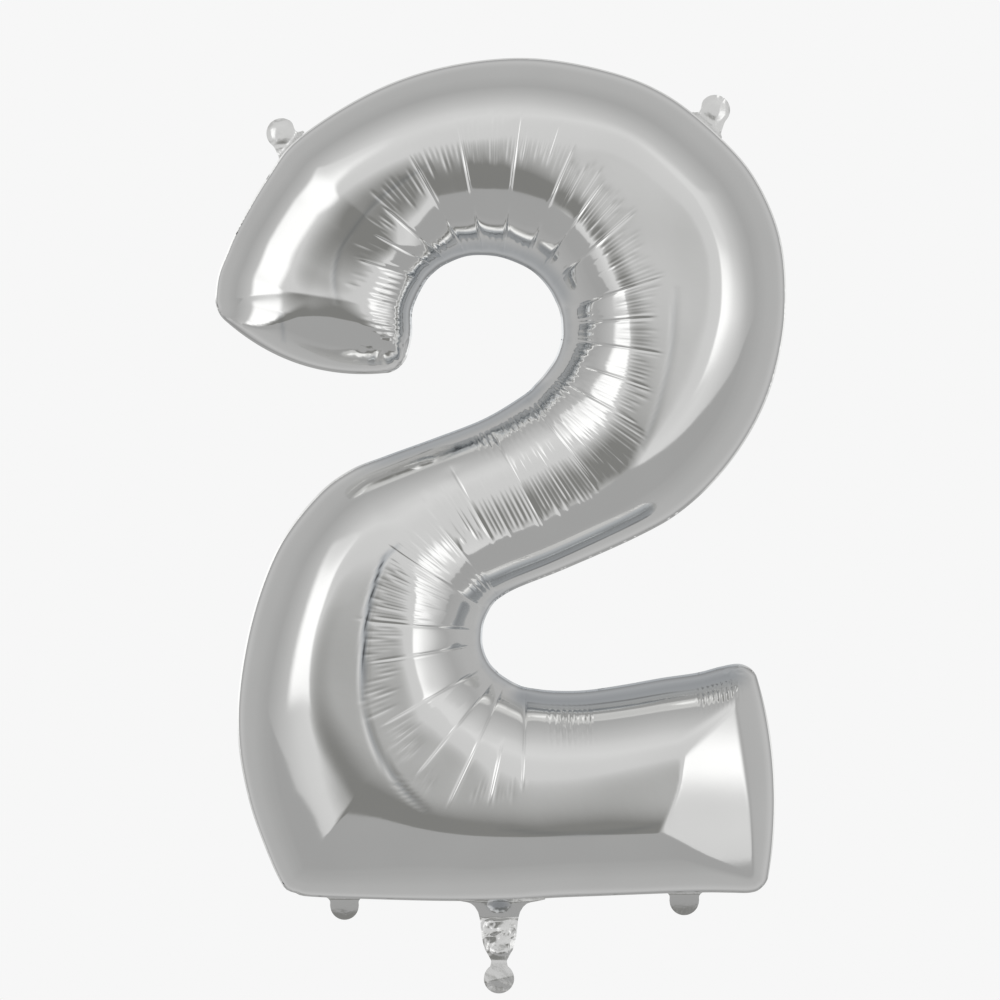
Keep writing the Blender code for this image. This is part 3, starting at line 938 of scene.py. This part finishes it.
def neck_relief(side):
    """Depth of a ply of the neck over its middle surface: side is -1 in front and 1 behind."""

    def relief(u, x, out):
        z = -out
        body = float(smooth_step(0.0640, 0.0585, z)) if z < 0.0640 else 0.0
        gap = (0.0009 + 0.0012 * (1 - u * u) * body) * float(smooth_step(0.0, 0.010, z)) + 0.0004
        low = float(smooth_step(FOLD_Z + 0.001, FOLD_Z - 0.003, z)) if z < FOLD_Z + 0.001 else 0.0
        flat_end = float(smooth_step(0.004, 0.012, z))
        folds = 0.0030 * low * flat_end * crinkle(x, z, 70.0, 3.0 * side)
        folds += 0.0003 * low * flat_end * crinkle(x, z, 220.0, 9.0 * side)
        pit_x, pit_z, half_x, half_z = DIMPLE
        ring = math.hypot((x - pit_x) / half_x, (z - pit_z) / half_z)
        pit = 0.0014 * math.exp(-(ring**4)) - 0.0004 * math.exp(-(((ring - 1.25) / 0.25) ** 2))
        rays = 0.0002 * math.sin(7 * math.atan2(z - pit_z, x - pit_x))
        rays = rays * math.exp(-(((ring - 1.3) / 0.5) ** 2))
        hole_x, hole_z, height = FILL_HOLE
        calm = float(smooth_step(1.0, 1.8, math.hypot(x / hole_x, (z - height) / hole_z)))
        return neck_set_back(z) + side * (gap + folds * (0.35 + 0.65 * calm) - pit * body - rays * body)

    return relief


def neck_ply(name, side, hole):
    """A ply of the neck, with the fill opening where hole is true and a pit at the valve darkened with
    painted shade.
    """
    heights = np.concatenate([np.linspace(0.0655, 0.0590, 12), np.linspace(0.0582, 0.0010, 84)])
    profile = [(-z, 0.0, neck_half(z)) for z in heights]
    grid = tongue((0.0, 0.0), -90.0, profile, neck_relief(side), across=57)
    rows, columns = grid.shape[:2]
    points, faces = grid.reshape(-1, 3), grid_faces(rows, columns)
    if hole:
        faces = cut_oval(points, faces, FILL_HOLE)
    points, faces = thicken(points, faces, 0.0004)
    points[:, 1] -= 0.0002
    piece = add_mesh(name, points, facing_out(points, faces), WELDED, 40)
    piece.visible_glossy = False
    # painted shade in the pit at the valve, darkest at its centre
    pit_x, pit_z, half_x, half_z = DIMPLE
    ring = np.hypot((points[:, 0] - pit_x) / half_x, (points[:, 2] - pit_z) / half_z)
    values = piece.data.attributes.new("shade", "FLOAT", "POINT")
    values.data.foreach_set("value", 0.64 * np.exp(-((0.9 * ring) ** 4)))
    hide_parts("neck_front_ply" if side < 0 else "neck_back_ply")
    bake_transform(piece)


def cut_oval(points, faces, oval):
    """Leaves out the faces inside an upright oval and brings their rim onto it."""
    half_x, half_z, height = oval
    ring = np.hypot(points[:, 0] / half_x, (points[:, 2] - height) / half_z)
    kept = [face for face in faces if ring[list(face)].mean() > 1.0]
    dropped = [face for face in faces if ring[list(face)].mean() <= 1.0]
    rim = {v for face in dropped for v in face} & {v for face in kept for v in face}
    for v in rim:
        points[v, 0] /= ring[v]
        points[v, 2] = height + (points[v, 2] - height) / ring[v]
    return kept


def bent_strip(name, half_width, low, high, gap, film, material):
    """A flat strip of clear film that follows the neck's bend."""

    def relief(u, x, out):
        return neck_set_back(-out) + gap * math.sqrt(max(0.0, 1 - u * u))

    profile = [(-z, 0.0, half_width) for z in np.linspace(high, low, 40)]
    grid = tongue((0.0, 0.0), -90.0, profile, relief, across=21)
    return tongue_mesh(name, grid, film, material)


def neck_weld_strip():
    """The U-shaped weld between the neck's plies."""
    band = 0.0042
    outer, inner = [], []
    for z in np.linspace(0.0585, 0.0080, 40):
        half = neck_half(z) - 0.0004
        outer.append((half, z))
        inner.append((half - band, max(z, 0.0085)))
    outer += [(0.0098, 0.0045), (0.0082, 0.0018)]
    inner += [(0.0050, 0.0078), (0.0025, 0.0072)]
    loop_outer = outer + [(-x, z) for x, z in reversed(outer)]
    loop_inner = inner + [(-x, z) for x, z in reversed(inner)]
    grid = np.array([
        [(x, neck_set_back(z) - 0.0003, z) for x, z in loop_outer],
        [(x, neck_set_back(z) - 0.0003, z) for x, z in loop_inner],
    ])
    return tongue_mesh("neck_seam", grid, 0.0006, WELDED)


TIE_DISC = (0.0155, -0.0180)  # radius and centre height of the disc under the waist


def tie_tab_profile():
    """Rows of the waist and of the disc under it."""
    radius, centre = TIE_DISC
    rows = [(-z, 0.0, neck_half(max(z, 0.0010)) - 0.0001) for z in np.linspace(0.0042, 0.0005, 8)]
    start = math.asin(0.0080 / radius)
    neck_rows = np.linspace(0.0, -centre - radius * math.cos(start) + 0.0012, 8)
    rows += [(out, 0.0, 0.0081 + 0.0012 * (out / 0.006) ** 2) for out in neck_rows]
    for turn in np.linspace(start + 0.14, math.radians(176), 44):
        rows.append((-centre - radius * math.cos(turn), 0.0, radius * math.sin(turn)))
    return rows


def tie_tab():
    """The waist that the ribbon is tied round, and the disc below it, creased and bent back."""

    def relief(u, x, out):
        below = out - 0.0185 - 0.22 * x
        bent_back = 0.40 * max(0.0, below) - 0.09 * max(0.0, out)
        folds = 0.0004 * crinkle(x, out, 60.0, 5.0) * float(smooth_step(0.004, 0.012, out))
        inside = 0.0003 * float(smooth_step(-0.002, 0.003, -out))
        return -0.0006 + bent_back - folds + inside

    grid = tongue((0.0, 0.0), -90.0, tie_tab_profile(), relief, across=37)
    piece = tongue_mesh("tie_tab_film", grid, 0.0010, WELDED)
    piece.visible_glossy = False
    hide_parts("tie_tab")
    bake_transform(piece)


# ---------------------------------------------------------------- the seam between the panels


def seam_ring():
    """The weld all round between the two panels' rims."""
    t = row_ribs()
    t = t[every(len(t), 3)]
    length = np.linalg.norm(spline(INNER, t) - spline(OUTER, t), axis=1)[:, None]
    edge, root = 0.0003 / length, 0.0040 / length
    left = place(t, np.hstack([edge, root]))
    right = place(t, np.hstack([1 - root, 1 - edge]))
    ends = to_rib(np.array([0.0003, 0.0040, TOTAL_TRAVEL - 0.0040, TOTAL_TRAVEL - 0.0003]))
    across = np.linspace(0.002, 0.998, 70)[None]
    top_edge, top_root, low_root, low_edge = place(ends, np.repeat(across, 4, 0))
    outer = np.vstack([left[2:-2, 0], low_edge, right[2:-2, 1][::-1], top_edge[::-1]])
    inner = np.vstack([left[2:-2, 1], low_root, right[2:-2, 0][::-1], top_root[::-1]])
    count = len(outer)
    rings = [(outer, -0.00015), (inner, -0.0006), (inner, 0.0006), (outer, 0.00015)]
    points = np.vstack([np.stack([flat[:, 0], np.full(count, y), flat[:, 1]], 1) for flat, y in rings])
    faces = []
    for k in range(4):
        for i in range(count):
            j = (i + 1) % count
            a, b = k * count, ((k + 1) % 4) * count
            faces.append((a + i, a + j, b + j, b + i))
    piece = add_mesh("seam_weld", points, facing_out(points, faces), WELDED, 30)
    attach(piece, "envelope")
    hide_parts("edge_weld")


# ---------------------------------------------------------------- build


for side, name, node, seed in ((-1, "front_foil", "front_panel", 11), (1, "back_foil", "back_panel", 23)):
    panel = foil_panel(name, side, seed, FOIL)
    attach(panel, "envelope")
    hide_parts(node)
seam_ring()
for tab in TABS:
    hanging_tab(*tab)
neck_ply("neck_front_film", -1, True)
neck_ply("neck_back_film", 1, False)
weld = neck_weld_strip()
weld.visible_glossy = False
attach(weld, "neck")
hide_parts("neck_weld")
inlet_low, inlet_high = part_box("valve_inlet")
inlet = bent_strip("valve_inlet_film", inlet_high[0], inlet_low[2], inlet_high[2], 0.0002, 0.0003, CLEAR)
inlet.visible_glossy = False
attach(inlet, "neck")
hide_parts("valve_inlet")
tie_tab()
for name in ("valve_throat", "valve_front_ply", "valve_back_ply"):
    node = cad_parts[name]
    node.data.materials.clear()
    node.data.materials.append(CLEAR)


# ---------------------------------------------------------------- studio

VIEW_WIDTH = 1.025  # what the picture is wide at the balloon's seam
EYE = Vector((0.001, -6.0, 0.4725))
FLOOR_Z = -0.40
REFLECTANCE = 0.885  # of the foil, so that a level below is what the foil shows
# The room: degrees from the camera's axis, and the shade that the foil shows there
ROOM = [
    (0, 0.785), (28, 0.80), (42, 0.825), (52, 0.80), (62, 0.745), (74, 0.69), (86, 0.645),
    (96, 0.66), (106, 0.675), (130, 0.685), (147, 0.725), (157, 0.66), (167, 0.55), (180, 0.49),
]


def level(shade, warmth=0.0):
    """Linear colour whose reflection in the foil shows as this display shade, from 0 to 1."""
    made = []
    for channel in (shade, shade, shade - warmth):
        made.append(((channel + 0.055) / 1.055) ** 2.4 / REFLECTANCE)
    return tuple(made)


def camera():
    """Level, far off and straight in front."""
    data = bpy.data.cameras.new("camera")
    data.sensor_width = 36.0
    data.lens = data.sensor_width * -EYE.y / VIEW_WIDTH
    data.clip_end = 100.0
    obj = bpy.data.objects.new("camera", data)
    obj.location = EYE
    obj.rotation_euler = (math.radians(90), 0, 0)
    bpy.context.scene.collection.objects.link(obj)
    bpy.context.scene.camera = obj


def floor():
    half = 4.0
    mesh = bpy.data.meshes.new("floor")
    corners = [(x * half, y * half, FLOOR_Z) for x, y in ((-1, -1), (1, -1), (1, 1), (-1, 1))]
    mesh.from_pydata(corners, [], [(0, 1, 2, 3)])
    obj = bpy.data.objects.new("floor", mesh)
    bpy.context.scene.collection.objects.link(obj)
    made, nodes, shader, spot = new_material("floor")
    pale = nodes.spread(nodes.noise(3.0, 2.0, 0.5, spot), 0.3, 0.7, 0.0, 1.0)
    nodes.link(nodes.mix_colour(pale, (0.93, 0.93, 0.93), (0.91, 0.91, 0.91)), shader.inputs["Base Color"])
    shader.inputs["Roughness"].default_value = 0.8
    mesh.materials.append(made)
    obj.visible_glossy = False


def overhead_light():
    """A broad soft light from above for the floor; the foil shows the surroundings instead."""
    data = bpy.data.lights.new("overhead", "AREA")
    data.shape = "SQUARE"
    data.size = 6.0
    data.energy = 420.0
    obj = bpy.data.objects.new("overhead", data)
    obj.location = (0.0, 0.0, 4.5)
    obj.visible_glossy = False
    bpy.context.scene.collection.objects.link(obj)


class Sky(Nodes):
    """The surroundings as a function of direction, in degrees seen from the camera's axis."""

    def __init__(self, tree):
        super().__init__(tree)
        direction = self.add("ShaderNodeTexCoord").outputs["Generated"]
        split = self.add("ShaderNodeSeparateXYZ")
        self.link(direction, split.inputs[0])
        x, y, z = split.outputs
        towards = self.math("MULTIPLY", y, -1.0)
        self.azimuth = self.degrees(self.math("ARCTAN2", x, towards))
        self.elevation = self.degrees(self.math("ARCSINE", z))
        self.climb = self.degrees(self.math("ARCTAN2", z, towards))
        self.polar = self.degrees(self.math("ARCCOSINE", towards))

    def degrees(self, value):
        return self.math("DEGREES", value)

    def band(self, value, rise, fall):
        """1 between the two edges; each edge is a pair of degrees over which it turns."""
        up = self.spread(value, rise[0], rise[1], 0.0, 1.0, True)
        down = self.spread(value, fall[0], fall[1], 1.0, 0.0, True)
        return self.math("MULTIPLY", up, down)

    def room(self):
        """The pale room: shade against the angle from the camera's axis."""
        ramp = self.add("ShaderNodeValToRGB")
        elements = ramp.color_ramp.elements
        for angle, shade in ROOM[1:-1]:
            elements.new(angle / 180.0)
        for element, (angle, shade) in zip(elements, ROOM):
            element.position = angle / 180.0
            element.color = (*level(shade), 1.0)
        self.link(self.math("DIVIDE", self.polar, 180.0), ramp.inputs["Fac"])
        return ramp.outputs["Color"]

    def shadow(self, under):
        """The darker end of the room behind the camera."""
        across = self.spread(self.azimuth, -41.0, 18.0, -1.0, 1.0)
        up = self.spread(self.elevation, -84.0, 11.0, -1.0, 1.0)
        reach = self.math("ADD", self.math("MULTIPLY", across, across), self.math("MULTIPLY", up, up))
        dark = self.math("SUBTRACT", 1.0, reach)
        return self.mix_colour(self.spread(dark, 0.0, 0.7, 0.0, 1.0), under, level(0.49, 0.008))

    def softbox(self, under, across, up, bright):
        """A tall soft light, brightest over the band of elevations called bright."""
        glow = self.mix_colour(bright, level(0.835), (1.16, 1.16, 1.16))
        return self.mix_colour(self.math("MULTIPLY", across, up), under, glow)


def surroundings():
    """The studio that the foil mirrors: a pale room, its dark end, two soft lights and the floor."""
    world = bpy.data.worlds.new("studio")
    bpy.context.scene.world = world
    world.use_nodes = True
    tree = world.node_tree
    tree.nodes.clear()
    sky = Sky(tree)
    lit = sky.shadow(sky.room())
    left = sky.band(sky.azimuth, (-64.0, -57.0), (-33.0, -27.0))
    left_up = sky.band(sky.elevation, (-10.0, -3.5), (35.0, 38.0))
    lit = sky.softbox(lit, left, left_up, sky.band(sky.elevation, (-12.0, 2.0), (15.0, 36.0)))
    right = sky.band(sky.azimuth, (22.0, 27.0), (30.0, 78.0))
    right_up = sky.band(sky.elevation, (-21.0, -5.0), (33.0, 38.0))
    lit = sky.softbox(lit, right, right_up, sky.band(sky.elevation, (-18.0, -4.0), (-1.0, 14.0)))
    ahead = sky.spread(sky.polar, 76.0, 90.0, 1.0, 0.0, True)
    below = sky.math("MULTIPLY", ahead, sky.spread(sky.climb, -40.0, -38.0, 1.0, 0.0, True))
    lit = sky.mix_colour(below, lit, level(0.625))

    seen = sky.add("ShaderNodeBackground")
    seen.inputs["Color"].default_value = (0.93, 0.93, 0.93, 1.0)
    around = sky.add("ShaderNodeBackground")
    sky.link(lit, around.inputs["Color"])
    choose = sky.add("ShaderNodeMixShader")
    sky.link(sky.add("ShaderNodeLightPath").outputs["Is Camera Ray"], choose.inputs["Fac"])
    sky.link(around.outputs[0], choose.inputs[1])
    sky.link(seen.outputs[0], choose.inputs[2])
    sky.link(choose.outputs[0], sky.add("ShaderNodeOutputWorld").inputs["Surface"])


camera()
floor()
overhead_light()
surroundings()
bpy.context.scene.view_settings.view_transform = "Standard"
